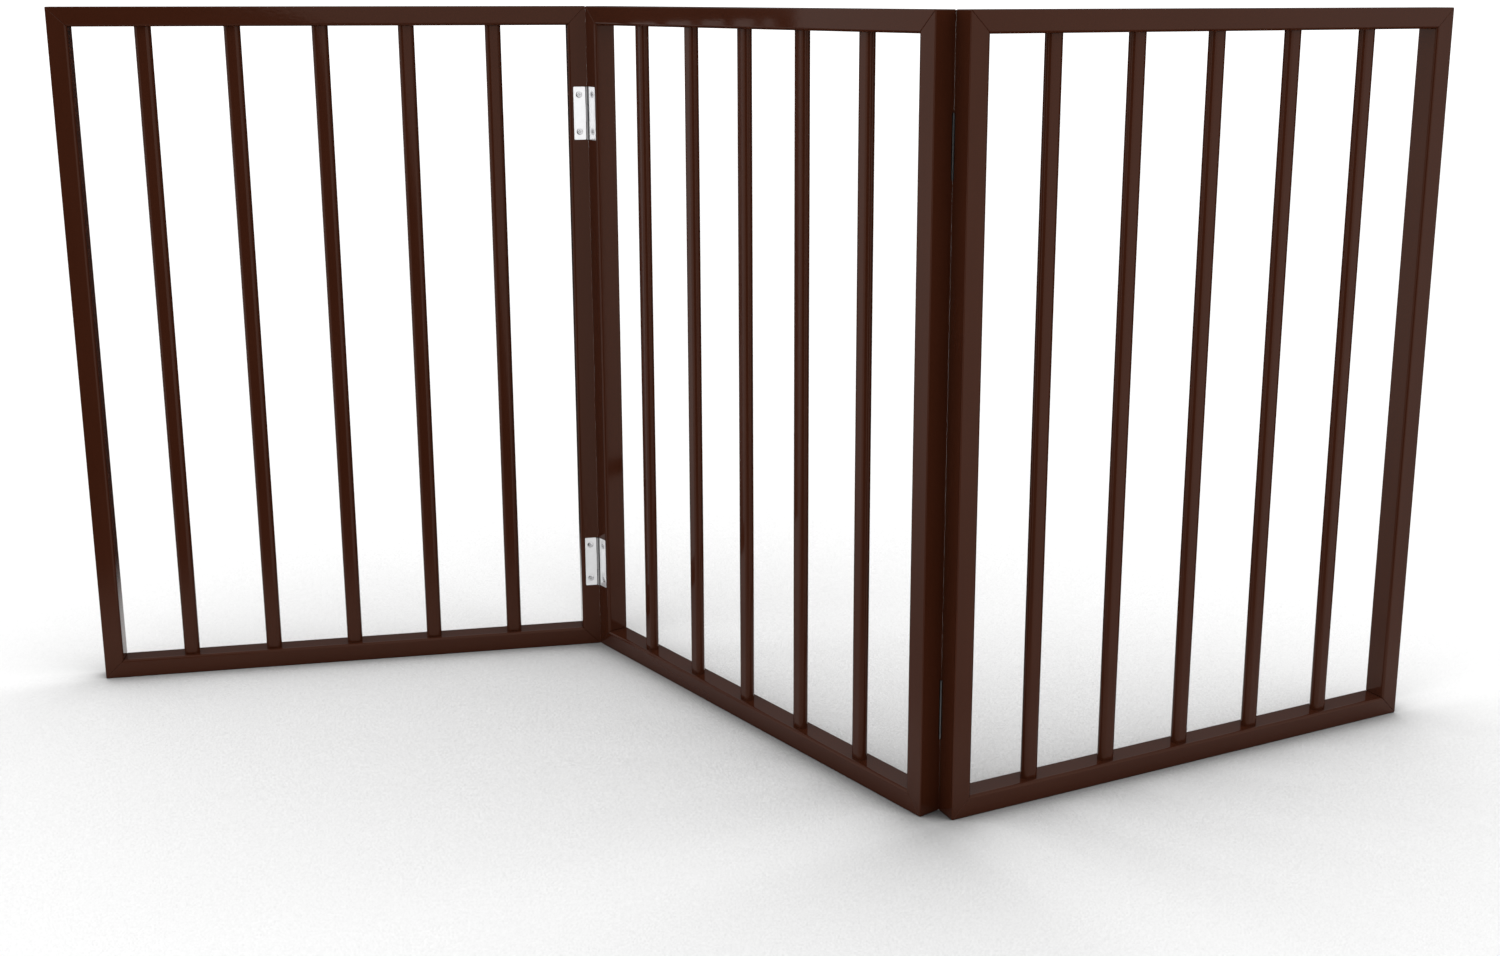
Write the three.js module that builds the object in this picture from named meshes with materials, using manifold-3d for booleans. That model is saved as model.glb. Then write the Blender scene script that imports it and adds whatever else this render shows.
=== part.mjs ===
// A free-standing folding pet gate: three framed panels with upright bars, joined by butt hinges.
// Millimetres, +Z up. The front is seen along +Y, with +X to the right.
// The gate stands in a zigzag. The origin is on the floor, under the centre of its bounding box.
import * as THREE from "three";
import { mergeVertices } from "three/addons/utils/BufferGeometryUtils.js";
import Module from "manifold-3d";

const wasm = await Module();
wasm.setup();

// ---------------------------------------------------------------- driving dimensions

const PANEL = {
  height: 609.6, // 24 in
  width: 458.5, // 18 in and a little
  depth: 19.5, // front to back
  face: 16.6, // width of a stile or a rail, seen from the front
  openingRadius: 2.5, // of the long edges round the front of the panel's opening
};

// How far each panel is turned about +Z, in degrees.
const PANEL_ANGLE = { left: 11.2, middle: -51.9, right: 26 };

const BAR = {
  count: 5,
  width: 14,
  depth: 8.8,
  edgeRadius: 4.35, // the edges are all but half round
  firstCentre: 76.4, // from the panel's left edge
  pitch: 74.35,
  lastPitch: 76.3, // the last bar stands a little further off
};

const TENON = { width: 9, depth: 4, length: 8 };

// The tongue that holds a mitred corner together, in the corner's square.
const TONGUE = { start: 4, end: 13, depth: 5, root: 2 };

const HINGE = {
  centreHeight: { lower: 84, upper: 514 },
  length: 48,
  halfWidth: 12.7, // from the pin's axis to a leaf's outer edge
  leafThickness: 0.9,
  knuckleRadius: 1.6,
  pinRadius: 0.75,
  pinHoleRadius: 0.95,
  standoff: 0.15, // of the pin's axis from the panels' faces
  edgeGap: 0.2, // between two panels that lie flat in one line
  screwEndDistance: 7.2, // from a leaf's end to its screw
  screwReach: 7.7, // from the pin's axis to its screws
};

const SCREW = {
  headRadius: 2.65,
  headDepth: 1.5,
  crown: 0.04,
  shankRadius: 1.1,
  length: 12,
  pointLength: 3,
  crossLength: 3.2,
  crossWidth: 0.6,
  crossDepth: 0.8,
};

const GAP = 0.3; // between pieces that touch
const OVERSHOOT = 1; // of a cutter past the face that it starts from
const ROUND_SIDES = 16;
const BAR_CORNER_STEPS = 6;
const MEMBER_CORNER_STEPS = 4;

// ---------------------------------------------------------------- materials

const paintedWood = new THREE.MeshStandardMaterial({ color: "#472f28", roughness: 0.22, metalness: 0 });
const brightMetal = new THREE.MeshStandardMaterial({ color: "#d9dadc", roughness: 0.18, metalness: 1 });

// ---------------------------------------------------------------- solids

// A closed geometry as a manifold-3d solid.
function solid(geometry) {
  const bare = geometry.clone();
  bare.deleteAttribute("normal");
  bare.deleteAttribute("uv");
  const merged = mergeVertices(bare);
  const mesh = new wasm.Mesh({
    numProp: 3,
    vertProperties: merged.attributes.position.array,
    triVerts: new Uint32Array(merged.index.array),
  });
  return new wasm.Manifold(mesh);
}

// A manifold-3d solid as a flat-shaded geometry.
function geometryOf(made) {
  const mesh = made.getMesh();
  const indexed = new THREE.BufferGeometry();
  indexed.setAttribute("position", new THREE.BufferAttribute(mesh.vertProperties, 3));
  indexed.setIndex(new THREE.BufferAttribute(mesh.triVerts, 1));
  const flat = indexed.toNonIndexed();
  flat.computeVertexNormals();
  return flat;
}

function moved(made, matrix) {
  return solid(geometryOf(made).applyMatrix4(matrix));
}

function joined(solids) {
  return solids.reduce((whole, piece) => whole.add(piece));
}

function cut(body, cutters) {
  return cutters.reduce((rest, cutter) => rest.subtract(cutter), body);
}

// A box between two corners.
function box(low, high) {
  const size = high.map((value, axis) => value - low[axis]);
  const centre = high.map((value, axis) => (value + low[axis]) / 2);
  return solid(new THREE.BoxGeometry(...size).translate(...centre));
}

// An outline in X and Z, as a plate from one Y to another.
function plate(outline, near, far) {
  const shape = new THREE.Shape(outline.map(([x, z]) => new THREE.Vector2(x, z)));
  const extruded = new THREE.ExtrudeGeometry(shape, { depth: far - near, bevelEnabled: false });
  return solid(extruded.rotateX(Math.PI / 2).translate(0, far, 0));
}

// A profile of [radius, height] points, from the bottom up, turned about Z.
function turned(profile) {
  const points = profile.map(([radius, height]) => new THREE.Vector2(radius, height));
  return solid(new THREE.LatheGeometry(points, ROUND_SIDES).rotateX(Math.PI / 2));
}

function rod(radius, bottom, top) {
  return turned([[0, bottom], [radius, bottom], [radius, top], [0, top]]);
}

// ---------------------------------------------------------------- panel frame
// A panel's own frame: X along it from its left edge, Y from its front face to its back face,
// Z up from the floor. Outlines are drawn for its lower left corner and flipped to the others.

const flipX = (outline) => outline.map(([x, z]) => [PANEL.width - x, z]);
const flipZ = (outline) => outline.map(([x, z]) => [x, PANEL.height - z]);

// A stile or a rail has a frame of its own too: X from its outer edge to its inner edge, Y through
// it, and Z along it. Each of the four has a matrix that puts it in the panel, and its front face at
// one end or the other of its own Y.
function placeMatrix(x, y, z, origin) {
  const directions = [x, y, z].map((direction) => new THREE.Vector3(...direction));
  return new THREE.Matrix4().makeBasis(...directions).setPosition(...origin);
}

const MEMBER_PLACES = {
  left: {
    matrix: placeMatrix([1, 0, 0], [0, 1, 0], [0, 0, 1], [0, 0, 0]),
    frontIsFar: false,
  },
  right: {
    matrix: placeMatrix([-1, 0, 0], [0, -1, 0], [0, 0, 1], [PANEL.width, PANEL.depth, 0]),
    frontIsFar: true,
  },
  bottom: {
    matrix: placeMatrix([0, 0, 1], [0, -1, 0], [1, 0, 0], [0, PANEL.depth, 0]),
    frontIsFar: true,
  },
  top: {
    matrix: placeMatrix([0, 0, -1], [0, 1, 0], [1, 0, 0], [0, 0, PANEL.height]),
    frontIsFar: false,
  },
};

const MITRE_SETBACK = (GAP / 2) * Math.SQRT2; // along the frame's edges, on each side of a mitre

// A member's section, rounded where its front face meets its inner edge.
function memberSection(frontIsFar) {
  const { face, depth, openingRadius: radius } = PANEL;
  const shape = new THREE.Shape();
  shape.moveTo(0, 0);
  if (frontIsFar) {
    shape.lineTo(face, 0);
    shape.absarc(face - radius, depth - radius, radius, 0, Math.PI / 2, false);
  } else {
    shape.lineTo(face - radius, 0);
    shape.absarc(face - radius, radius, radius, -Math.PI / 2, 0, false);
    shape.lineTo(face, depth);
  }
  shape.lineTo(0, depth);
  return shape;
}

// The stile or rail at one edge of the panel, of a given length, with a mitre at each end.
function member(edge, length) {
  const { matrix, frontIsFar } = MEMBER_PLACES[edge];
  const options = { depth: length, bevelEnabled: false, curveSegments: MEMBER_CORNER_STEPS };
  const whole = solid(new THREE.ExtrudeGeometry(memberSection(frontIsFar), options));
  const low = -OVERSHOOT;
  const high = PANEL.face + OVERSHOOT;
  const betweenMitres = [
    [low, low + MITRE_SETBACK],
    [high, high + MITRE_SETBACK],
    [high, length - high - MITRE_SETBACK],
    [low, length - low - MITRE_SETBACK],
  ];
  const mitred = whole.intersect(plate(betweenMitres, -OVERSHOOT, PANEL.depth + OVERSHOOT));
  return moved(mitred, matrix);
}

// The outline of a tongue across the lower left mitre, or, with clearance, of its slot.
function tongueOutline(clearance) {
  const low = TONGUE.start - clearance;
  const high = TONGUE.end + clearance;
  return [[low, low], [high, low], [high, high + TONGUE.root], [low, low + TONGUE.root]];
}

function tonguePlate(outline, clearance) {
  const near = (PANEL.depth - TONGUE.depth) / 2 - clearance;
  return plate(outline, near, PANEL.depth - near);
}

// The stile at the panel's left or right edge, with a tongue at each end, cut away for its hinges.
function stile(edge, hingeCuts) {
  const place = edge === "right" ? flipX : (outline) => outline;
  const tongue = tongueOutline(0);
  const whole = joined([
    member(edge, PANEL.height),
    tonguePlate(place(tongue), 0),
    tonguePlate(place(flipZ(tongue)), 0),
  ]);
  return cut(whole, hingeCuts);
}

// The top or bottom rail, slotted for the stiles' tongues and mortised for the bars' tenons.
function rail(edge) {
  const place = edge === "top" ? flipZ : (outline) => outline;
  const slot = tongueOutline(GAP);
  const slots = [slot, flipX(slot)].map((each) => tonguePlate(place(each), GAP));
  const mortises = barCentres().map((centre) => tenon(place, centre, GAP));
  return cut(member(edge, PANEL.width), [...slots, ...mortises]);
}

// ---------------------------------------------------------------- bars

function barCentres() {
  const steps = Array.from({ length: BAR.count }, (_, index) => index);
  const stretch = (index) => (index === BAR.count - 1 ? BAR.lastPitch - BAR.pitch : 0);
  return steps.map((index) => BAR.firstCentre + index * BAR.pitch + stretch(index));
}

// A bar's stub tenon in the bottom rail, or, with clearance, the mortise that takes it.
function tenon(place, centre, clearance) {
  const left = centre - TENON.width / 2 - clearance;
  const right = centre + TENON.width / 2 + clearance;
  const bottom = PANEL.face - TENON.length - clearance;
  const top = PANEL.face + 2 * GAP; // past the rail's edge, into the bar
  const near = (PANEL.depth - TENON.depth) / 2 - clearance;
  const outline = [[left, bottom], [right, bottom], [right, top], [left, top]];
  return plate(place(outline), near, PANEL.depth - near);
}

// The bar's section: two flat faces with a round edge on each side.
function barSection() {
  const { width, depth, edgeRadius: radius } = BAR;
  const x = width / 2 - radius;
  const y = depth / 2 - radius;
  const corners = [[x, y], [-x, y], [-x, -y], [x, -y]];
  const shape = new THREE.Shape();
  corners.forEach(([cornerX, cornerY], quarter) => {
    const start = (quarter * Math.PI) / 2;
    shape.absarc(cornerX, cornerY, radius, start, start + Math.PI / 2, false);
  });
  return shape;
}

function bar(centre) {
  const bottom = PANEL.face + GAP;
  const length = PANEL.height - 2 * bottom;
  const options = { depth: length, bevelEnabled: false, curveSegments: BAR_CORNER_STEPS };
  const shaft = new THREE.ExtrudeGeometry(barSection(), options);
  shaft.translate(centre, PANEL.depth / 2, bottom);
  const bottomTenon = tenon((outline) => outline, centre, 0);
  const topTenon = tenon(flipZ, centre, 0);
  return joined([solid(shaft), bottomTenon, topTenon]);
}

// ---------------------------------------------------------------- hinges
// A hinge's own frame: its origin is on the pin's axis, half way up the hinge. X runs along the
// panel, away from the joint, and Y runs into the wood. The panel's face is at Y = standoff.

const LEAF_SCREW_HEIGHT = HINGE.length / 2 - HINGE.screwEndDistance;
const SCREW_HEIGHTS = [LEAF_SCREW_HEIGHT, -LEAF_SCREW_HEIGHT];
const KNUCKLE_CLEARANCE_RADIUS = HINGE.knuckleRadius + GAP;
const SCREW_ALONG_Y = new THREE.Matrix4().makeRotationX(-Math.PI / 2);
const UP = new THREE.Vector3(0, 0, 1);

// The hole that a screw is driven into: a countersink and a blind hole.
function screwHole(height) {
  const hole = turned([
    [0, -OVERSHOOT],
    [SCREW.headRadius + GAP, -OVERSHOOT],
    [SCREW.headRadius + GAP, 0],
    [SCREW.shankRadius + GAP, SCREW.headDepth],
    [SCREW.shankRadius + GAP, SCREW.length + GAP],
    [0, SCREW.length + GAP],
  ]);
  const place = new THREE.Matrix4().makeTranslation(HINGE.screwReach, HINGE.standoff, height);
  return moved(hole, place.multiply(SCREW_ALONG_Y));
}

// The room that a hinge takes in a stile: the leaf's shallow bed, the knuckles' groove and the
// screws' holes.
function hingeBed() {
  const half = HINGE.length / 2 + GAP;
  const depth = HINGE.standoff + HINGE.leafThickness + GAP;
  const bed = box([-half, -half, -half], [HINGE.halfWidth + GAP, depth, half]);
  const groove = rod(KNUCKLE_CLEARANCE_RADIUS, -half, half);
  return joined([bed, groove, ...SCREW_HEIGHTS.map(screwHole)]);
}

// The stretches of the hinge that a leaf's knuckles take: a third of its length in the middle, or
// a third at each end.
function knuckleStretches(isMiddle) {
  const end = HINGE.length / 2;
  const split = HINGE.length / 6;
  const middle = [[-split + GAP / 2, split - GAP / 2]];
  const outer = [[-end, -split - GAP / 2], [split + GAP / 2, end]];
  return isMiddle ? middle : outer;
}

function leaf(hasMiddleKnuckle) {
  const near = HINGE.standoff;
  const far = near + HINGE.leafThickness;
  const end = HINGE.length / 2;
  const flat = box([KNUCKLE_CLEARANCE_RADIUS, near, -end], [HINGE.halfWidth, far, end]);
  const rolled = knuckleStretches(hasMiddleKnuckle).flatMap(([bottom, top]) => [
    rod(HINGE.knuckleRadius, bottom, top),
    box([0, near, bottom], [KNUCKLE_CLEARANCE_RADIUS + GAP, far, top]),
  ]);
  const pinHole = rod(HINGE.pinHoleRadius, -end - OVERSHOOT, end + OVERSHOOT);
  return cut(joined([flat, ...rolled]), [pinHole, ...SCREW_HEIGHTS.map(screwHole)]);
}

// A countersunk wood screw with a cross recess, its head's rim at 0 and its point up Z.
function screw() {
  const { headRadius, headDepth, crown, shankRadius, length, pointLength } = SCREW;
  const blank = turned([
    [0, -crown],
    [headRadius, 0],
    [shankRadius, headDepth],
    [shankRadius, length - pointLength],
    [0, length],
  ]);
  const long = SCREW.crossLength / 2;
  const short = SCREW.crossWidth / 2;
  return cut(blank, [
    box([-long, -short, -OVERSHOOT], [long, short, SCREW.crossDepth]),
    box([-short, -long, -OVERSHOOT], [short, long, SCREW.crossDepth]),
  ]);
}

// ---------------------------------------------------------------- where the hinges sit
// Each seat is the hinge's frame as it lies in a panel's frame. The four differ by half turns, so
// a leaf fits all of them: it is the same above and below its middle.

const SEATS = {
  leftEdgeFront: { x: -HINGE.edgeGap / 2, y: -HINGE.standoff, turn: [0, 0, 0] },
  rightEdgeFront: { x: PANEL.width + HINGE.edgeGap / 2, y: -HINGE.standoff, turn: [0, Math.PI, 0] },
  leftEdgeBack: { x: -HINGE.edgeGap / 2, y: PANEL.depth + HINGE.standoff, turn: [Math.PI, 0, 0] },
  rightEdgeBack: {
    x: PANEL.width + HINGE.edgeGap / 2,
    y: PANEL.depth + HINGE.standoff,
    turn: [0, 0, Math.PI],
  },
};

function seatGroup(seat, height) {
  const group = new THREE.Group();
  group.position.set(seat.x, seat.y, height);
  group.rotation.set(...seat.turn);
  return group;
}

// The beds of the upper and the lower hinge in a stile.
function hingeBeds(seat) {
  return Object.values(HINGE.centreHeight).map((height) => {
    const group = seatGroup(seat, height);
    group.updateMatrix();
    return moved(hingeBed(), group.matrix);
  });
}

// ---------------------------------------------------------------- assembly

function piece(name, made, material) {
  const mesh = new THREE.Mesh(geometryOf(made), material);
  mesh.name = name;
  return mesh;
}

// The wooden pieces of a panel. Its stiles' names and the seats of their hinges are given.
function woodenPanel(side, leftStile, rightStile) {
  const panel = new THREE.Group();
  const bedsOf = ({ seat }) => (seat ? hingeBeds(seat) : []);
  panel.add(piece(`${side}_${leftStile.name}`, stile("left", bedsOf(leftStile)), paintedWood));
  panel.add(piece(`${side}_${rightStile.name}`, stile("right", bedsOf(rightStile)), paintedWood));
  panel.add(piece(`${side}_top_rail`, rail("top"), paintedWood));
  panel.add(piece(`${side}_bottom_rail`, rail("bottom"), paintedWood));
  barCentres().forEach((centre, index) => {
    panel.add(piece(`${side}_bar_${index + 1}`, bar(centre), paintedWood));
  });
  return panel;
}

// One panel's half of a joint: an upper and a lower leaf with their screws, and the pins too on
// the panel that keeps them.
function addHingeHalves(panel, side, joint, seat, keepsPins) {
  for (const [level, height] of Object.entries(HINGE.centreHeight)) {
    const group = seatGroup(seat, height);
    const hinge = `${joint}_${level}`;
    group.add(piece(`${hinge}_leaf_${side}`, leaf(!keepsPins), brightMetal));
    SCREW_HEIGHTS.forEach((screwHeight, index) => {
      const fastener = piece(`${hinge}_screw_${side}_${index + 1}`, screw(), brightMetal);
      fastener.position.set(HINGE.screwReach, HINGE.standoff, screwHeight);
      fastener.rotation.x = -Math.PI / 2;
      group.add(fastener);
    });
    if (keepsPins) {
      const pin = rod(HINGE.pinRadius, -HINGE.length / 2, HINGE.length / 2);
      group.add(piece(`${hinge}_pin`, pin, brightMetal));
    }
    panel.add(group);
  }
}

// A point of a panel's frame, turned as the panel is turned.
function turnedPoint(side, x, y) {
  const angle = THREE.MathUtils.degToRad(PANEL_ANGLE[side]);
  return new THREE.Vector3(x, y, 0).applyAxisAngle(UP, angle);
}

const seatPoint = (side, seat) => turnedPoint(side, seat.x, seat.y);

// Where each panel's own origin lies, from the hinge pins that two panels share.
function panelOrigins() {
  const middle = new THREE.Vector3();
  const left = seatPoint("middle", SEATS.leftEdgeFront).sub(seatPoint("left", SEATS.rightEdgeFront));
  const right = seatPoint("middle", SEATS.rightEdgeBack).sub(seatPoint("right", SEATS.leftEdgeBack));
  const origins = { left, middle, right };
  const footprint = new THREE.Box3();
  for (const [side, origin] of Object.entries(origins)) {
    for (const x of [0, PANEL.width]) {
      for (const y of [0, PANEL.depth]) {
        footprint.expandByPoint(turnedPoint(side, x, y).add(origin));
      }
    }
  }
  const centre = footprint.getCenter(new THREE.Vector3());
  return Object.fromEntries(Object.entries(origins).map(([side, origin]) => [side, origin.sub(centre)]));
}

function buildGate() {
  const panels = {
    left: woodenPanel("left", { name: "outer_stile" }, { name: "hinge_stile", seat: SEATS.rightEdgeFront }),
    middle: woodenPanel(
      "middle",
      { name: "left_stile", seat: SEATS.leftEdgeFront },
      { name: "right_stile", seat: SEATS.rightEdgeBack },
    ),
    right: woodenPanel("right", { name: "hinge_stile", seat: SEATS.leftEdgeBack }, { name: "outer_stile" }),
  };
  addHingeHalves(panels.left, "left", "front", SEATS.rightEdgeFront, false);
  addHingeHalves(panels.middle, "middle", "front", SEATS.leftEdgeFront, true);
  addHingeHalves(panels.middle, "middle", "back", SEATS.rightEdgeBack, true);
  addHingeHalves(panels.right, "right", "back", SEATS.leftEdgeBack, false);
  const gate = new THREE.Group();
  const origins = panelOrigins();
  for (const [side, panel] of Object.entries(panels)) {
    panel.position.copy(origins[side]);
    panel.rotation.z = THREE.MathUtils.degToRad(PANEL_ANGLE[side]);
    gate.add(panel);
  }
  return gate;
}

export default buildGate();
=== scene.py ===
"""The looks of a folding pet gate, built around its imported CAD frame.

Three mitred frames of glossy dark brown enamelled wood with upright bars, joined by bright nickel
butt hinges. Metres, +Z up. Wooden members are built in a frame of their own, with Z along their
length, and then put where the CAD model has them.
"""
import math

import bmesh
import bpy
from mathutils import Matrix, Vector


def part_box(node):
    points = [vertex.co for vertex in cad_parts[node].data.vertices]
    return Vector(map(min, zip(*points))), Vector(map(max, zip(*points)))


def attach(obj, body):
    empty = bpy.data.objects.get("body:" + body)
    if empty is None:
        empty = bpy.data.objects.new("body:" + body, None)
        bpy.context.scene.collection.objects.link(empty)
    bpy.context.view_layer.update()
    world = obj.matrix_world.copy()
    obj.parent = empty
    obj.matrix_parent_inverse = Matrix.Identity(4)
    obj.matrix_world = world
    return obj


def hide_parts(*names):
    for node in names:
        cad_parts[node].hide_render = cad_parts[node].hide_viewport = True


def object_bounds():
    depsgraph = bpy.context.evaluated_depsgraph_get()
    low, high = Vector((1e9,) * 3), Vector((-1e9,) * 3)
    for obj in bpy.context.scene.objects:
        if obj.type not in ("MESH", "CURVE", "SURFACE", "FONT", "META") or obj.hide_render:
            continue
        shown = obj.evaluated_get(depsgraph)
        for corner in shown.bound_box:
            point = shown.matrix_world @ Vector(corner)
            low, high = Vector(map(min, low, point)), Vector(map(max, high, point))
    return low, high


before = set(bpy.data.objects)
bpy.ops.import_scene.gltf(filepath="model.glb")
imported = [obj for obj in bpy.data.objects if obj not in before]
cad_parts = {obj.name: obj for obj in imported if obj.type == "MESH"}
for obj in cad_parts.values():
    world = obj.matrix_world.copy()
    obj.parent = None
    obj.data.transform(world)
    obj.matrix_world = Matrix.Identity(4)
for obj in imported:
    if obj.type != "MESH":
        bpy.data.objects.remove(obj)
cad_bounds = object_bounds()

# ---------------------------------------------------------------- driving dimensions

PANEL_HEIGHT = cad_bounds[1].z - cad_bounds[0].z
PANEL_WIDTH = 0.4585
PANEL_DEPTH = 0.0195
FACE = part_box("middle_bottom_rail")[1].z  # width of a stile or a rail, seen from the front
FRONT_RADIUS = 0.0025  # of the long edges round the front of a panel's opening
EDGE_RADIUS = 0.0008  # of the other long edges
HINGED_RADIUS = 0.00001  # of the edge that lies along the pins
EDGE_STEPS = 8
SIDE_FILM = 0.000098  # of enamel over the CAD sizes, on the members' outer and inner faces
FRONT_FILM = 0.000148  # the same on their front and back faces
MITRE_GAP = 0.00003  # between each member and the plane of its mitre
MITRE_GROOVE = 0.0005  # length of the chamfer that leaves a fine line along a painted mitre

TONGUE_START, TONGUE_END, TONGUE_DEPTH = 0.004, 0.013, 0.005
TONGUE_RADIUS, TONGUE_PLAY = 0.0004, 0.0001

BARS = 5
BAR_WIDTH, BAR_DEPTH, BAR_RADIUS = 0.014, 0.0088, 0.00435
BAR_STEPS = 12
SHOULDER_GAP = 0.00003
SHOULDER_GROOVE = 0.00015  # of the chamfer at a bar's shoulder
TENON_WIDTH, TENON_DEPTH, TENON_LENGTH = 0.009, 0.004, 0.008
TENON_RADIUS = 0.0005
MORTISE_PLAY = 0.0001

HINGE_LENGTH = 0.048
LEAF_REACH = 0.0127  # from the pin's axis to a leaf's outer edge
LEAF_NEAR, LEAF_FAR = 0.00004, 0.00105  # a leaf's faces, in depth from the pin's axis
LEAF_CORNER, LEAF_CORNER_STEPS = 0.0009, 6
LEAF_EDGE, BED_EDGE, EASING_STEPS = 0.00012, 0.00001, 6  # the easing of a leaf's edges and its bed's
LEAF_PLAY = 0.00005
KNUCKLE_RADIUS, KNUCKLE_BORE = 0.0016, 0.0008
KNUCKLE_ROOT = 0.0026  # from the pin's axis to where a knuckle's sheet ends inside its leaf
KNUCKLE_GAP = 0.00014
KNUCKLE_STEPS = 48
ROLL_END = 300  # degrees that the knuckle's sheet is rolled round the pin
GROOVE_RADIUS = 0.0018
PIN_RADIUS, PIN_CROWN = 0.00074, 0.0003
PIN_CROWN_ANGLES = 0, 20, 40, 60, 80
PIN_STANDOFF = 0.00015  # of the pin's axis from the panels' faces
EDGE_GAP = 0.0002  # between two panels that lie flat in one line

SCREW_REACH, SCREW_SEAT = 0.0077, 0.00015  # along the leaf and into it, from the pin's axis
SCREW_INSET = 0.0072  # of the screws from a leaf's ends
SCREW_HEIGHTS = HINGE_LENGTH / 2 - SCREW_INSET, SCREW_INSET - HINGE_LENGTH / 2
HEAD_RADIUS, HEAD_DEPTH, HEAD_CROWN = 0.00265, 0.0015, 0.00012
HEAD_CROWN_ANGLES = 2, 15, 30, 45, 60, 75
HEAD_RIM = 0.00005  # height of the head's upright edge
SHANK_RADIUS, SCREW_LENGTH, POINT_LENGTH = 0.0011, 0.012, 0.003
POINT_RADIUS = SHANK_RADIUS / 12
RECESS_LENGTH, RECESS_WIDTH, RECESS_DEPTH = 0.0031, 0.00062, 0.0008
RECESS_TAPER = 0.45  # the recess's size on its floor, as a share of its size at the top
RECESS_ROUNDING, RECESS_STEPS = 0.3, 3  # its ends' radius, as a share of its width
COUNTERSINK_PLAY = 0.00022
ROUND_STEPS = 48

# How far the cutters reach out of the solid that they cut.
OVERSHOOT = 0.001
BED_PAST_EDGE, BED_PAST_FACE = 0.004, 0.002

MERGE_DISTANCE = 1e-8
SHARP_ANGLE = 35  # degrees from which an edge isn't shaded smooth
FLAT_FACE_WEIGHT = 100  # the most: the larger faces alone settle a corner's normal


# ---------------------------------------------------------------- mesh building

def rounded_rectangle(x_range, y_range, radii, steps):
    """The points of a rectangle with rounded corners, anticlockwise. The radii are one for all
    corners, or four from the corner of the highest X and Y onward."""
    (x0, x1), (y0, y1) = x_range, y_range
    corners = [(x1, y1), (x0, y1), (x0, y0), (x1, y0)]
    radii = radii if isinstance(radii, (list, tuple)) else [radii] * 4
    points = []
    for quarter, ((corner_x, corner_y), radius) in enumerate(zip(corners, radii)):
        centre_x = corner_x + (radius if corner_x == x0 else -radius)
        centre_y = corner_y + (radius if corner_y == y0 else -radius)
        for step in range(steps + 1):
            angle = math.radians(90 * (quarter + step / steps))
            points.append((centre_x + radius * math.cos(angle), centre_y + radius * math.sin(angle)))
    return points


def centred_rectangle(width, depth, radius, steps):
    return rounded_rectangle((-width / 2, width / 2), (-depth / 2, depth / 2), radius, steps)


def circle(radius):
    angles = [2 * math.pi * step / ROUND_STEPS for step in range(ROUND_STEPS)]
    return [(radius * math.cos(angle), radius * math.sin(angle)) for angle in angles]


def arc(radius, start, end, steps):
    angles = [math.radians(start + (end - start) * step / steps) for step in range(steps + 1)]
    return [(radius * math.cos(angle), radius * math.sin(angle)) for angle in angles]


def raised(outline, height):
    """An outline in X and Y at a height, which may be a function of X."""
    return [(x, y, height(x) if callable(height) else height) for x, y in outline]


def lofted(name, loops):
    """A closed mesh through loops with equal numbers of points, anticlockwise from +Z."""
    mesh_builder = bmesh.new()
    rings = [[mesh_builder.verts.new(point) for point in loop] for loop in loops]
    count = len(rings[0])
    for lower, upper in zip(rings, rings[1:]):
        for index in range(count):
            following = (index + 1) % count
            mesh_builder.faces.new([lower[index], lower[following], upper[following], upper[index]])
    mesh_builder.faces.new(reversed(rings[0]))
    mesh_builder.faces.new(rings[-1])
    return finished_mesh(name, mesh_builder)


def finished_mesh(name, mesh_builder):
    bmesh.ops.remove_doubles(mesh_builder, verts=mesh_builder.verts, dist=MERGE_DISTANCE)
    bmesh.ops.recalc_face_normals(mesh_builder, faces=mesh_builder.faces)
    mesh = bpy.data.meshes.new(name)
    mesh_builder.to_mesh(mesh)
    mesh_builder.free()
    return mesh


def turned_mesh(name, profile):
    """A mesh turned about Z from (radius, height) points, from the bottom up."""
    return lofted(name, [raised(circle(radius), height) for radius, height in profile])


def combined(mesh, operation, tools):
    """The mesh after an exact boolean with each tool mesh, which is used up."""
    body = bpy.data.objects.new("body", mesh)
    bpy.context.scene.collection.objects.link(body)
    helpers = []
    for tool in tools:
        helper = bpy.data.objects.new("tool", tool)
        bpy.context.scene.collection.objects.link(helper)
        modifier = body.modifiers.new("combine", "BOOLEAN")
        modifier.operation = operation
        modifier.solver = "EXACT"
        modifier.object = helper
        helpers.append(helper)
    depsgraph = bpy.context.evaluated_depsgraph_get()
    result = bpy.data.meshes.new_from_object(body.evaluated_get(depsgraph))
    for helper in [body, *helpers]:
        bpy.data.objects.remove(helper)
    for used in [mesh, *tools]:
        bpy.data.meshes.remove(used)
    return result


def placed(mesh, matrix):
    mesh.transform(matrix)
    return mesh


def shade(obj):
    """Smooth shading that keeps flat faces flat and sharp edges sharp."""
    obj.data.shade_smooth()
    obj.data.set_sharp_from_angle(angle=math.radians(SHARP_ANGLE))
    modifier = obj.modifiers.new("flat_faces_stay_flat", "WEIGHTED_NORMAL")
    modifier.weight = FLAT_FACE_WEIGHT
    modifier.keep_sharp = True


def add_piece(node, mesh, matrix, material, body):
    """Adds the finished piece that stands for one CAD node."""
    piece = bpy.data.objects.new(f"{node}_fine", mesh)
    bpy.context.scene.collection.objects.link(piece)
    piece.matrix_world = matrix
    piece.data.materials.clear()
    piece.data.materials.append(material)
    shade(piece)
    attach(piece, body)
    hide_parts(node)


# ---------------------------------------------------------------- shader nodes

def new_material(name):
    material = bpy.data.materials.new(name)
    material.use_nodes = True
    return material, material.node_tree, material.node_tree.nodes["Principled BSDF"]


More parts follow.
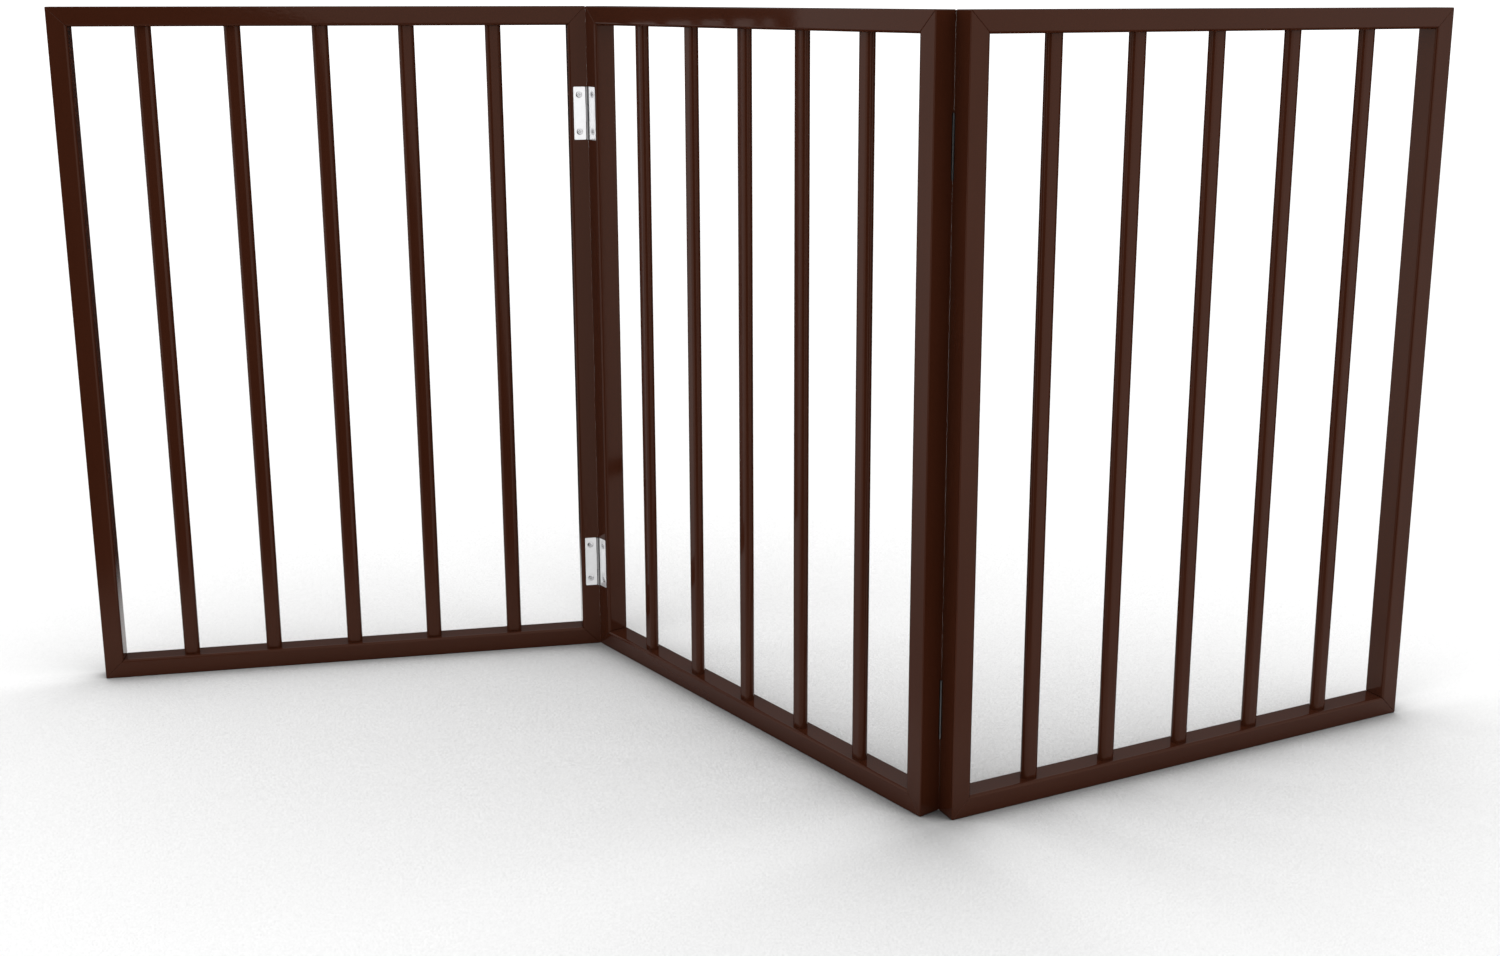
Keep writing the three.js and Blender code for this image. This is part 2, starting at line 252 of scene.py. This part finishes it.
def math_node(tree, operation, first, second=None, clamp=False):
    node = tree.nodes.new("ShaderNodeMath")
    node.operation = operation
    node.use_clamp = clamp
    for socket, value in zip(node.inputs, (first, second)):
        if isinstance(value, bpy.types.NodeSocket):
            tree.links.new(value, socket)
        elif value is not None:
            socket.default_value = value
    return node.outputs[0]


def product(tree, first, *others):
    for other in others:
        first = math_node(tree, "MULTIPLY", first, other)
    return first


def ramp(tree, value, low, high):
    """0 below low, 1 above high, with a smooth step between."""
    node = tree.nodes.new("ShaderNodeMapRange")
    node.interpolation_type = "SMOOTHSTEP"
    node.inputs["From Min"].default_value = low
    node.inputs["From Max"].default_value = high
    tree.links.new(value, node.inputs["Value"])
    return node.outputs["Result"]


def coordinates(tree, kind):
    """X, Y and Z of a kind of texture coordinates."""
    split = tree.nodes.new("ShaderNodeSeparateXYZ")
    tree.links.new(tree.nodes.new("ShaderNodeTexCoord").outputs[kind], split.inputs[0])
    return split.outputs


def openness(tree, reach, samples):
    """The share of a point's outlook, from 0 to 1, that nothing within reach blocks."""
    node = tree.nodes.new("ShaderNodeAmbientOcclusion")
    node.samples = samples
    node.inputs["Distance"].default_value = reach
    return node.outputs["AO"]


def noise(tree, stretch, scale, detail):
    """A noise over the piece's own coordinates, stretched along its length."""
    mapping = tree.nodes.new("ShaderNodeMapping")
    mapping.inputs["Scale"].default_value = stretch
    texture = tree.nodes.new("ShaderNodeTexNoise")
    texture.inputs["Scale"].default_value = scale
    texture.inputs["Detail"].default_value = detail
    own = tree.nodes.new("ShaderNodeTexCoord").outputs["Object"]
    tree.links.new(own, mapping.inputs["Vector"])
    tree.links.new(mapping.outputs["Vector"], texture.inputs["Vector"])
    return texture.outputs["Fac"]


def mapped(tree, value, low, high):
    """A noise's usual span, spread from low to high."""
    node = tree.nodes.new("ShaderNodeMapRange")
    node.inputs["From Min"].default_value, node.inputs["From Max"].default_value = NOISE_SPAN
    node.inputs["To Min"].default_value = low
    node.inputs["To Max"].default_value = high
    tree.links.new(value, node.inputs["Value"])
    return node.outputs["Result"]


def mixed_colour(tree, value, first, second):
    """A mix of two colours, each a fixed one or a node's."""
    node = tree.nodes.new("ShaderNodeMix")
    node.data_type = "RGBA"
    for name, colour in (("A", first), ("B", second)):
        if isinstance(colour, bpy.types.NodeSocket):
            tree.links.new(colour, node.inputs[name])
        else:
            node.inputs[name].default_value = (*colour, 1)
    tree.links.new(value, node.inputs["Factor"])
    return node.outputs["Result"]


def bump(tree, height, distance, under=None):
    node = tree.nodes.new("ShaderNodeBump")
    node.inputs["Distance"].default_value = distance
    tree.links.new(height, node.inputs["Height"])
    if under is not None:
        tree.links.new(under, node.inputs["Normal"])
    return node.outputs["Normal"]


# ---------------------------------------------------------------- materials
# A noise has a stretch for X, Y and Z, a scale per metre and a detail. Colours are linear.

NOISE_SPAN = 0.3, 0.7  # most of a noise's values lie between these
GRAIN_NOISE = (1, 1, 0.03), 900, 4
PATCH_NOISE = (1, 1, 0.25), 30, 2
FILM_NOISE = (1, 1, 0.6), 260, 1
ENAMEL_TONES = (0.0335, 0.0088, 0.0039), (0.0378, 0.0102, 0.0047)
ENAMEL_ROUGHNESS = 0.05, 0.09
ENAMEL_SPECULAR, ENAMEL_SPECULAR_TINT = 0.23, (1, 0.74, 0.62, 1)
FILM_BUMP, GRAIN_BUMP = 0.000012, 0.000004

RUB_NOISE = (1, 1, 0.08), 1500, 3
NICKEL_PATCH_NOISE = (1, 1, 1), 160, 2
NICKEL_SHADE = 0.95  # the darker patches' tone, as a share of the full tone
NICKEL_ROUGHNESS = 0.10, 0.15
RUB_BUMP = 0.000002
HINGE_TONE, HINGE_METALLIC, HINGE_SPECULAR = (0.98, 0.98, 0.99), 0.6, 0.5
SCREW_TONE, SCREW_METALLIC = (0.72, 0.72, 0.73), 1

# The knuckles' darker tone, and the black of the painted shade in a narrow corner.
KNUCKLE_TONE, CORNER_SHADE_BLACK = (0.36, 0.35, 0.35), (0, 0, 0)
KNUCKLE_EDGE = KNUCKLE_RADIUS + 0.0001, KNUCKLE_RADIUS + 0.0003  # from the pin's axis
# Painted shade: how near other surfaces must lie to darken a knuckle, and the samples taken.
CORNER_REACH, CORNER_SAMPLES = 0.03, 16
CORNER_OPENNESS = 0.6, 0.9  # painted shade, from black in a corner to the knuckles' tone


def enamelled_wood():
    """Dark brown gloss enamel over wood: faint grain, a slightly uneven film."""
    material, tree, shader = new_material("brown_enamel")
    grain = noise(tree, *GRAIN_NOISE)
    patches = noise(tree, *PATCH_NOISE)
    film = noise(tree, *FILM_NOISE)
    colour = mixed_colour(tree, mapped(tree, patches, 0, 1), *ENAMEL_TONES)
    tree.links.new(colour, shader.inputs["Base Color"])
    tree.links.new(mapped(tree, patches, *ENAMEL_ROUGHNESS), shader.inputs["Roughness"])
    shader.inputs["Specular IOR Level"].default_value = ENAMEL_SPECULAR
    shader.inputs["Specular Tint"].default_value = ENAMEL_SPECULAR_TINT
    wavy = bump(tree, film, FILM_BUMP)
    tree.links.new(bump(tree, grain, GRAIN_BUMP, wavy), shader.inputs["Normal"])
    return material


def nickel(name, tone, metallic):
    """Bright nickel plate with faint rubbing marks along the piece."""
    material, tree, shader = new_material(name)
    marks = noise(tree, *RUB_NOISE)
    patches = noise(tree, *NICKEL_PATCH_NOISE)
    darker = [NICKEL_SHADE * value for value in tone]
    colour = mixed_colour(tree, mapped(tree, patches, 0, 1), tone, darker)
    tree.links.new(colour, shader.inputs["Base Color"])
    tree.links.new(mapped(tree, marks, *NICKEL_ROUGHNESS), shader.inputs["Roughness"])
    shader.inputs["Metallic"].default_value = metallic
    tree.links.new(bump(tree, marks, RUB_BUMP), shader.inputs["Normal"])
    return material


def hinge_nickel():
    """Nickel, darker on the knuckles, with painted shade that blackens them and dims their shine in a
    narrow corner.
    """
    material = nickel("hinge_nickel", HINGE_TONE, HINGE_METALLIC)
    tree = material.node_tree
    shader = tree.nodes["Principled BSDF"]
    bright = shader.inputs["Base Color"].links[0].from_socket
    x, y, _ = coordinates(tree, "Object")
    squares = [product(tree, value, value) for value in (x, y)]
    from_axis = math_node(tree, "SQRT", math_node(tree, "ADD", *squares))
    is_leaf = ramp(tree, from_axis, *KNUCKLE_EDGE)
    # Painted shade: a knuckle goes from its tone to black where other surfaces crowd round it.
    painted_light_share = ramp(tree, openness(tree, CORNER_REACH, CORNER_SAMPLES), *CORNER_OPENNESS)
    knuckle_tone_and_shade = mixed_colour(tree, painted_light_share, CORNER_SHADE_BLACK, KNUCKLE_TONE)
    tree.links.new(mixed_colour(tree, is_leaf, knuckle_tone_and_shade, bright), shader.inputs["Base Color"])
    # The painted shade also dims the knuckles' specular in a corner.
    painted_shade_specular = product(tree, math_node(tree, "MAXIMUM", is_leaf, painted_light_share), HINGE_SPECULAR)
    tree.links.new(painted_shade_specular, shader.inputs["Specular IOR Level"])
    return material


ENAMEL = enamelled_wood()
HINGE_NICKEL = hinge_nickel()
SCREW_NICKEL = nickel("screw_nickel", SCREW_TONE, SCREW_METALLIC)


# ---------------------------------------------------------------- panels' places

def box_centre(node):
    low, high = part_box(node)
    return (low + high) / 2


def panel_matrix(side):
    """From a panel's own frame to the gate's: X along the panel from its left edge, Y from its
    front face to its back face, Z up from the floor."""
    first, last = (box_centre(f"{side}_bar_{number}") for number in (1, BARS))
    along = (last - first).normalized()
    up = Vector((0, 0, 1))
    backward = up.cross(along)
    foot = box_centre(f"{side}_bottom_rail")
    corner = foot - along * PANEL_WIDTH / 2 - backward * PANEL_DEPTH / 2
    turn = Matrix((along, backward, up)).transposed().to_4x4()
    return Matrix.Translation((corner.x, corner.y, 0)) @ turn


def axes(origin, x_axis, z_axis):
    """A frame at an origin with the given X and Z directions."""
    x_axis, z_axis = Vector(x_axis), Vector(z_axis)
    turn = Matrix((x_axis, z_axis.cross(x_axis), z_axis)).transposed().to_4x4()
    return Matrix.Translation(origin) @ turn


# ---------------------------------------------------------------- wooden members
# A member's own frame: X from its outer edge to its inner edge, Y through its depth, Z along it
# from one mitre's tip to the other's. Y runs from the panel's front to its back in the left stile
# and the top rail, and from its back to its front in the right stile and the bottom rail.

def member_outline(front, hinged=None, inset=0.0):
    """A member's section. Its front face is at the "low" or "high" Y, and so is a hinged one."""
    radii = [
        FRONT_RADIUS if front == "high" else EDGE_RADIUS,
        HINGED_RADIUS if hinged == "high" else EDGE_RADIUS,
        HINGED_RADIUS if hinged == "low" else EDGE_RADIUS,
        FRONT_RADIUS if front == "low" else EDGE_RADIUS,
    ]
    wide, deep = SIDE_FILM - inset, FRONT_FILM - inset
    return rounded_rectangle((-wide, FACE + wide), (-deep, PANEL_DEPTH + deep), radii, EDGE_STEPS)


def tongue_outline(play):
    middle = PANEL_DEPTH / 2
    half = TONGUE_DEPTH / 2 + play
    return rounded_rectangle(
        (TONGUE_START - play, TONGUE_END + play), (middle - half, middle + half), TONGUE_RADIUS, EDGE_STEPS
    )


def member(name, length, inner_loops, front, hinged=None):
    """A member with mitred ends. The inner loops lead from a lower end's hidden core to its face."""
    lower = [
        *inner_loops,
        raised(member_outline(front, hinged, MITRE_GROOVE / 2), lambda x: x + MITRE_GAP),
        raised(member_outline(front, hinged), lambda x: x + MITRE_GAP + MITRE_GROOVE),
    ]
    upper = [[(x, y, length - z) for x, y, z in loop] for loop in reversed(lower)]
    return lofted(name, lower + upper)


def stile_mesh(name, front, hinged, cuts):
    """A stile, with a tongue at each mitre, after the cuts for its hinges."""
    tongue = tongue_outline(0)
    loops = [raised(tongue, TONGUE_START), raised(tongue, lambda x: x + MITRE_GAP)]
    mesh = member(name, PANEL_HEIGHT, loops, front, hinged)
    return combined(mesh, "DIFFERENCE", cuts) if cuts else mesh


def rail_mesh(name, front, bar_places):
    """A rail, with a slot for a tongue at each mitre and a mortise for each bar."""
    opening = raised(tongue_outline(TONGUE_PLAY), lambda x: x + MITRE_GAP)
    slot_floor = TONGUE_START - 2 * TONGUE_PLAY
    bottom = [(slot_floor, y, z) for _, y, z in opening]
    mesh = member(name, PANEL_WIDTH, [bottom, opening], front)
    return combined(mesh, "DIFFERENCE", [mortise(place) for place in bar_places])


def mortise(place):
    """The cutter for a bar's tenon, at that distance along a rail."""
    outline = centred_rectangle(
        TENON_WIDTH + 2 * MORTISE_PLAY, TENON_DEPTH + 2 * MORTISE_PLAY, TENON_RADIUS, EDGE_STEPS
    )
    bottom = FACE - TENON_LENGTH - MORTISE_PLAY
    loops = [raised(outline, bottom), raised(outline, FACE + OVERSHOOT)]
    into_rail = axes((0, PANEL_DEPTH / 2, place), (0, 0, 1), (1, 0, 0))
    return placed(lofted("mortise", loops), into_rail)


def bar_outline(inset=0.0):
    return centred_rectangle(BAR_WIDTH - 2 * inset, BAR_DEPTH - 2 * inset, BAR_RADIUS - inset, BAR_STEPS)


def bar_mesh(name):
    """A bar about its own axis, with its shoulders against the rails and a tenon at each end."""
    tenon = centred_rectangle(TENON_WIDTH, TENON_DEPTH, TENON_RADIUS, BAR_STEPS)
    shoulder = FACE + SIDE_FILM + SHOULDER_GAP
    lower = [
        raised(tenon, FACE - TENON_LENGTH),
        raised(tenon, shoulder),
        raised(bar_outline(SHOULDER_GROOVE), shoulder),
        raised(bar_outline(), shoulder + SHOULDER_GROOVE),
    ]
    upper = [[(x, y, PANEL_HEIGHT - z) for x, y, z in loop] for loop in reversed(lower)]
    return lofted(name, lower + upper)


# ---------------------------------------------------------------- hinges
# A hinge's own frame: its origin is on the pin's axis, half way up. X runs along the panel, away
# from the joint, Y runs into the wood and Z up.

def slab(name, x_range, z_range, near, far, corner, edge):
    """A plate in X and Z with rounded corners and eased edges, from one Y to another."""
    (x0, x1), (z0, z1) = x_range, z_range
    eased = []
    for step in range(EASING_STEPS + 1):
        angle = math.radians(90 * step / EASING_STEPS)
        eased.append((edge * (1 - math.sin(angle)), edge * (1 - math.cos(angle))))
    levels = [(near + depth, inset) for inset, depth in eased]
    levels += [(far - depth, inset) for inset, depth in reversed(eased)]
    loops = []
    for depth, inset in levels:
        outline = rounded_rectangle(
            (x0 + inset, x1 - inset), (z0 + inset, z1 - inset), corner - inset, LEAF_CORNER_STEPS
        )
        loops.append([(x, depth, z) for x, z in reversed(outline)])
    return lofted(name, loops)


def knuckle_profile():
    """The sheet rolled round the pin, and the short stretch of leaf that it starts from."""
    front_joint = math.degrees(math.asin(LEAF_NEAR / KNUCKLE_RADIUS))
    back_joint = math.degrees(math.asin(LEAF_FAR / KNUCKLE_RADIUS))
    outer = arc(KNUCKLE_RADIUS, front_joint, -ROLL_END, KNUCKLE_STEPS)
    inner = arc(KNUCKLE_BORE, -ROLL_END, back_joint, KNUCKLE_STEPS)
    back_start = (KNUCKLE_RADIUS * math.cos(math.radians(back_joint)), LEAF_FAR)
    return [(KNUCKLE_ROOT, LEAF_NEAR), *outer, *inner, back_start, (KNUCKLE_ROOT, LEAF_FAR)]


def knuckle_stretches(is_middle):
    """The heights of a leaf's knuckles: the middle third of the hinge, or the outer two."""
    end = HINGE_LENGTH / 2
    split = HINGE_LENGTH / 6
    inner = split - KNUCKLE_GAP / 2
    outer = split + KNUCKLE_GAP / 2
    return [(-inner, inner)] if is_middle else [(-end, -outer), (outer, end)]


def screw_matrix(height):
    """Puts a screw in a leaf, its point into the wood."""
    return axes((SCREW_REACH, SCREW_SEAT, height), (1, 0, 0), (0, 1, 0))


def screw_holes(play):
    """The cutters for a leaf's screws: for each a countersink and a blind hole."""
    profile = [
        (HEAD_RADIUS + play, -OVERSHOOT),
        (HEAD_RADIUS + play, 0),
        (SHANK_RADIUS + play, HEAD_DEPTH),
        (SHANK_RADIUS + play, SCREW_LENGTH + play),
    ]
    return [placed(turned_mesh("hole", profile), screw_matrix(height)) for height in SCREW_HEIGHTS]


def leaf_mesh(name, has_middle_knuckle):
    clear = GROOVE_RADIUS + LEAF_PLAY
    half = HINGE_LENGTH / 2
    plate = slab(
        "plate", (clear, LEAF_REACH), (-half, half), LEAF_NEAR, LEAF_FAR, LEAF_CORNER, LEAF_EDGE
    )
    profile = knuckle_profile()
    knuckles = [
        lofted("knuckle", [raised(reversed(profile), bottom), raised(reversed(profile), top)])
        for bottom, top in knuckle_stretches(has_middle_knuckle)
    ]
    whole = combined(plate, "UNION", knuckles)
    result = combined(whole, "DIFFERENCE", screw_holes(COUNTERSINK_PLAY))
    result.name = name
    return result


def screw_mesh(name):
    """A countersunk screw with a slightly domed head and a cross recess, its point up Z."""
    dome = [
        (HEAD_RADIUS * math.sin(angle), -HEAD_CROWN * math.cos(angle))
        for angle in map(math.radians, HEAD_CROWN_ANGLES)
    ]
    profile = [
        *dome,
        (HEAD_RADIUS, 0),
        (HEAD_RADIUS, HEAD_RIM),
        (SHANK_RADIUS, HEAD_DEPTH),
        (SHANK_RADIUS, SCREW_LENGTH - POINT_LENGTH),
        (POINT_RADIUS, SCREW_LENGTH),
    ]
    blank = turned_mesh("blank", profile)
    result = combined(blank, "DIFFERENCE", [recess_wing(0), recess_wing(90)])
    result.name = name
    return result


def recess_wing(turn):
    """One of the two crossed slots of the recess, narrowing towards its floor."""
    loops = []
    for height, share in ((-OVERSHOOT, 1), (0, 1), (RECESS_DEPTH, RECESS_TAPER)):
        length, width = RECESS_LENGTH * share, RECESS_WIDTH * share
        outline = centred_rectangle(length, width, width * RECESS_ROUNDING, RECESS_STEPS)
        loops.append(raised(outline, height))
    return placed(lofted("wing", loops), Matrix.Rotation(math.radians(turn), 4, "Z"))


def pin_mesh(name):
    """A pin as long as its hinge, with slightly domed ends."""
    straight = HINGE_LENGTH / 2 - PIN_CROWN
    crown = [
        (PIN_RADIUS * math.cos(angle), straight + PIN_CROWN * math.sin(angle))
        for angle in map(math.radians, PIN_CROWN_ANGLES)
    ]
    bottom = [(radius, -height) for radius, height in reversed(crown)]
    return turned_mesh(name, bottom + crown)


def hinge_bed():
    """The cutters for the room that a hinge takes in a stile."""
    half = HINGE_LENGTH / 2 + LEAF_PLAY
    bed = slab(
        "bed", (-BED_PAST_EDGE, LEAF_REACH + LEAF_PLAY), (-half, half), -BED_PAST_FACE,
        LEAF_FAR + LEAF_PLAY, LEAF_CORNER, BED_EDGE,
    )
    groove = turned_mesh("groove", [(GROOVE_RADIUS, -half), (GROOVE_RADIUS, half)])
    return [bed, groove, *screw_holes(LEAF_PLAY)]


# Where a hinge lies in a panel's frame, without its height: by the panel's left or right edge, on
# its front or back face.
LEFT_X, RIGHT_X = -EDGE_GAP / 2, PANEL_WIDTH + EDGE_GAP / 2
FRONT_Y, BACK_Y = -PIN_STANDOFF, PANEL_DEPTH + PIN_STANDOFF
SEATS = {
    ("left", "front"): axes((LEFT_X, FRONT_Y, 0), (1, 0, 0), (0, 0, 1)),
    ("right", "front"): axes((RIGHT_X, FRONT_Y, 0), (-1, 0, 0), (0, 0, -1)),
    ("left", "back"): axes((LEFT_X, BACK_Y, 0), (1, 0, 0), (0, 0, -1)),
    ("right", "back"): axes((RIGHT_X, BACK_Y, 0), (-1, 0, 0), (0, 0, 1)),
}
HINGE_HEIGHTS = {level: box_centre(f"front_{level}_pin").z for level in ("lower", "upper")}


def seat_matrix(edge, joint, level):
    return Matrix.Translation((0, 0, HINGE_HEIGHTS[level])) @ SEATS[edge, joint]


# ---------------------------------------------------------------- assembly

# The stiles' nodes, left then right, and the joint that each carries hinges for.
STILES = {
    "left": (("outer_stile", None), ("hinge_stile", "front")),
    "middle": (("left_stile", "front"), ("right_stile", "back")),
    "right": (("hinge_stile", "back"), ("outer_stile", None)),
}
# Each member's place in a panel, and the end of its own Y at which its front face is.
STILE_PLACES = {
    "left": (axes((0, 0, 0), (1, 0, 0), (0, 0, 1)), "low"),
    "right": (axes((PANEL_WIDTH, PANEL_DEPTH, 0), (-1, 0, 0), (0, 0, 1)), "high"),
}
RAIL_PLACES = {
    "bottom": (axes((0, PANEL_DEPTH, 0), (0, 0, 1), (1, 0, 0)), "high"),
    "top": (axes((0, 0, PANEL_HEIGHT), (0, 0, -1), (1, 0, 0)), "low"),
}
OPPOSITE = {"low": "high", "high": "low"}


def build_stile(side, edge, name, joint, panel, body):
    place, front = STILE_PLACES[edge]
    hinged = {"front": front, "back": OPPOSITE[front]}.get(joint)
    cuts = []
    if joint:
        for level in HINGE_HEIGHTS:
            into_stile = place.inverted() @ seat_matrix(edge, joint, level)
            cuts += [placed(cutter, into_stile) for cutter in hinge_bed()]
    node = f"{side}_{name}"
    mesh = stile_mesh(node, front, hinged, cuts)
    add_piece(node, mesh, panel @ place, ENAMEL, body)


def build_bars_and_rails(side, panel, body):
    to_panel = panel.inverted()
    places = []
    for number in range(1, BARS + 1):
        node = f"{side}_bar_{number}"
        place = (to_panel @ box_centre(node)).x
        places.append(place)
        upright = panel @ Matrix.Translation((place, PANEL_DEPTH / 2, 0))
        add_piece(node, bar_mesh(node), upright, ENAMEL, body)
    for level, (place, front) in RAIL_PLACES.items():
        node = f"{side}_{level}_rail"
        add_piece(node, rail_mesh(node, front, places), panel @ place, ENAMEL, body)


def build_hinge_half(joint, side, edge, keeps_pin, panel, body):
    """A panel's half of a joint: a leaf with its screws at each height, and the pin if it keeps it."""
    for level in HINGE_HEIGHTS:
        place = panel @ seat_matrix(edge, joint, level)
        leaf = f"{joint}_{level}_leaf_{side}"
        add_piece(leaf, leaf_mesh(leaf, not keeps_pin), place, HINGE_NICKEL, body)
        for number, height in enumerate(SCREW_HEIGHTS, 1):
            screw = f"{joint}_{level}_screw_{side}_{number}"
            screw_place = place @ screw_matrix(height)
            add_piece(screw, screw_mesh(screw), screw_place, SCREW_NICKEL, body)
        if keeps_pin:
            pin = f"{joint}_{level}_pin"
            add_piece(pin, pin_mesh(pin), place, HINGE_NICKEL, body)


def build_panel(side):
    panel = panel_matrix(side)
    body = f"{side}_panel"
    for edge, (name, joint) in zip(("left", "right"), STILES[side]):
        build_stile(side, edge, name, joint, panel, body)
        if joint:
            build_hinge_half(joint, side, edge, side == "middle", panel, body)
    build_bars_and_rails(side, panel, body)


for panel_side in STILES:
    build_panel(panel_side)


# ---------------------------------------------------------------- camera

CAMERA_PLACE = (0.04046, -1.38735, 0.61946)
CAMERA_DOWN = 12.5872  # degrees below the horizon
CAMERA_RIGHT = 0.0686  # degrees to the right of +Y
SENSOR_WIDTH, FOCAL_LENGTH = 36, 40.61  # in millimetres
SHIFT_X, SHIFT_Y = -0.01969, -0.07018  # shares of the picture's width


def build_camera():
    data = bpy.data.cameras.new("camera")
    data.sensor_width = SENSOR_WIDTH
    data.lens = FOCAL_LENGTH
    data.shift_x = SHIFT_X
    data.shift_y = SHIFT_Y
    camera = bpy.data.objects.new("camera", data)
    camera.location = CAMERA_PLACE
    camera.rotation_euler = (math.radians(90 - CAMERA_DOWN), 0, math.radians(-CAMERA_RIGHT))
    bpy.context.scene.collection.objects.link(camera)
    bpy.context.scene.camera = camera


# ---------------------------------------------------------------- floor and light

FLOOR_RADIUS, FLOOR_BOTTOM, FLOOR_TOP = 8, -0.02, -0.0002
FLOOR_ALBEDO = 0.9
SHADE_REACH, SHADE_SAMPLES = 2, 4
SHADOW_POWER, SHADOW_POWER_AHEAD = 1.1, 1.85  # deepen the floor's painted shadow, behind and before the gate
BEHIND, AHEAD = 0.22, -0.16  # the Y at which each power holds
REFLECTED_FLOOR = 0.1, 0.4  # the distances between which the floor's own reflection fades out
SKY_STRENGTH = 1.25

# The studio that shines in the enamel, in degrees. Azimuths are from the -Y direction, positive to
# +X, and elevations from the horizon, positive upward. A pair goes from dark to bright.
RIGHT_BOX_START, RIGHT_BOX_END, RIGHT_BOX_FOOT = (4.2, 4.5), (88, 70), (-50, -8)
RIGHT_BOX_SLANT, RIGHT_BOX_SLANT_DEPTH = 11.2, 18  # how far its start leans, and by what depth
LEFT_BOX_START, LEFT_BOX_FOOT = (-122, -110), (-36, -8)
LEFT_BOX_ENDS = ((-56, -66), 0.1), ((-36, -42), 0.9)  # each with the brightness that it adds
OVERHEAD_EDGE, OVERHEAD_STRENGTH = (12, 42), 0.8
BELOW_EDGE, BELOW_STRENGTH = (-14, -24), 0.28
BELOW_START, BELOW_END = (-60, -30), (60, 30)
ROOM_STRENGTH = 0.02


def build_floor():
    outline = circle(FLOOR_RADIUS)
    mesh = lofted("floor", [raised(outline, FLOOR_BOTTOM), raised(outline, FLOOR_TOP)])
    floor = bpy.data.objects.new("floor", mesh)
    bpy.context.scene.collection.objects.link(floor)
    material, tree, shader = new_material("pale_floor")
    _, y, _ = coordinates(tree, "Object")
    extra = product(tree, ramp(tree, y, BEHIND, AHEAD), SHADOW_POWER_AHEAD - SHADOW_POWER)
    power = math_node(tree, "ADD", extra, SHADOW_POWER)
    # Painted shadow: the floor's colour darkens as the gate blocks more of its outlook.
    painted_shadow_share = math_node(tree, "POWER", openness(tree, SHADE_REACH, SHADE_SAMPLES), power)
    tree.links.new(product(tree, painted_shadow_share, FLOOR_ALBEDO), shader.inputs["Base Color"])
    shader.inputs["Roughness"].default_value = 1
    shader.inputs["Specular IOR Level"].default_value = 0
    # Only the floor close by is seen in the enamel. Further off the reflected studio takes over.
    path = tree.nodes.new("ShaderNodeLightPath")
    far_off = ramp(tree, path.outputs["Ray Length"], *REFLECTED_FLOOR)
    unseen = product(tree, path.outputs["Is Glossy Ray"], far_off)
    mix = tree.nodes.new("ShaderNodeMixShader")
    tree.links.new(unseen, mix.inputs[0])
    tree.links.new(shader.outputs[0], mix.inputs[1])
    tree.links.new(tree.nodes.new("ShaderNodeBsdfTransparent").outputs[0], mix.inputs[2])
    tree.links.new(mix.outputs[0], tree.nodes["Material Output"].inputs["Surface"])
    mesh.materials.append(material)


def reflected_studio(tree):
    """What shines in the enamel: softboxes to the right and left, light from above and below, and
    a dim room elsewhere."""
    x, y, z = coordinates(tree, "Generated")
    azimuth = product(tree, math_node(tree, "ARCTAN2", x, product(tree, y, -1)), math.degrees(1))
    elevation = product(tree, math_node(tree, "ARCSINE", z), math.degrees(1))
    depth = product(tree, elevation, -1)
    lean = math_node(tree, "DIVIDE", depth, RIGHT_BOX_SLANT_DEPTH, clamp=True)
    slant = product(tree, math_node(tree, "SQRT", lean), RIGHT_BOX_SLANT)
    right = product(
        tree,
        ramp(tree, math_node(tree, "SUBTRACT", azimuth, slant), *RIGHT_BOX_START),
        ramp(tree, azimuth, *RIGHT_BOX_END),
        ramp(tree, elevation, *RIGHT_BOX_FOOT),
    )
    left_ends = [product(tree, ramp(tree, azimuth, *end), share) for end, share in LEFT_BOX_ENDS]
    left = product(
        tree,
        ramp(tree, azimuth, *LEFT_BOX_START),
        math_node(tree, "ADD", *left_ends),
        ramp(tree, elevation, *LEFT_BOX_FOOT),
    )
    overhead = product(tree, ramp(tree, elevation, *OVERHEAD_EDGE), OVERHEAD_STRENGTH)
    below = product(
        tree,
        ramp(tree, elevation, *BELOW_EDGE),
        BELOW_STRENGTH,
        ramp(tree, azimuth, *BELOW_START),
        ramp(tree, azimuth, *BELOW_END),
    )
    bright = right
    for source in (left, overhead, below):
        bright = math_node(tree, "MAXIMUM", bright, source)
    return math_node(tree, "ADD", bright, ROOM_STRENGTH)


def build_light():
    """An even sky, in whose place glossy rays see the reflected studio."""
    world = bpy.data.worlds.new("studio")
    world.use_nodes = True
    bpy.context.scene.world = world
    tree = world.node_tree
    glossy = tree.nodes.new("ShaderNodeLightPath").outputs["Is Glossy Ray"]
    shine = product(tree, glossy, reflected_studio(tree))
    sky = product(tree, math_node(tree, "SUBTRACT", 1, glossy), SKY_STRENGTH)
    background = tree.nodes["Background"]
    background.inputs["Color"].default_value = (1, 1, 1, 1)
    tree.links.new(math_node(tree, "ADD", shine, sky), background.inputs["Strength"])


bpy.context.scene.view_settings.view_transform = "Standard"
build_camera()
build_floor()
build_light()
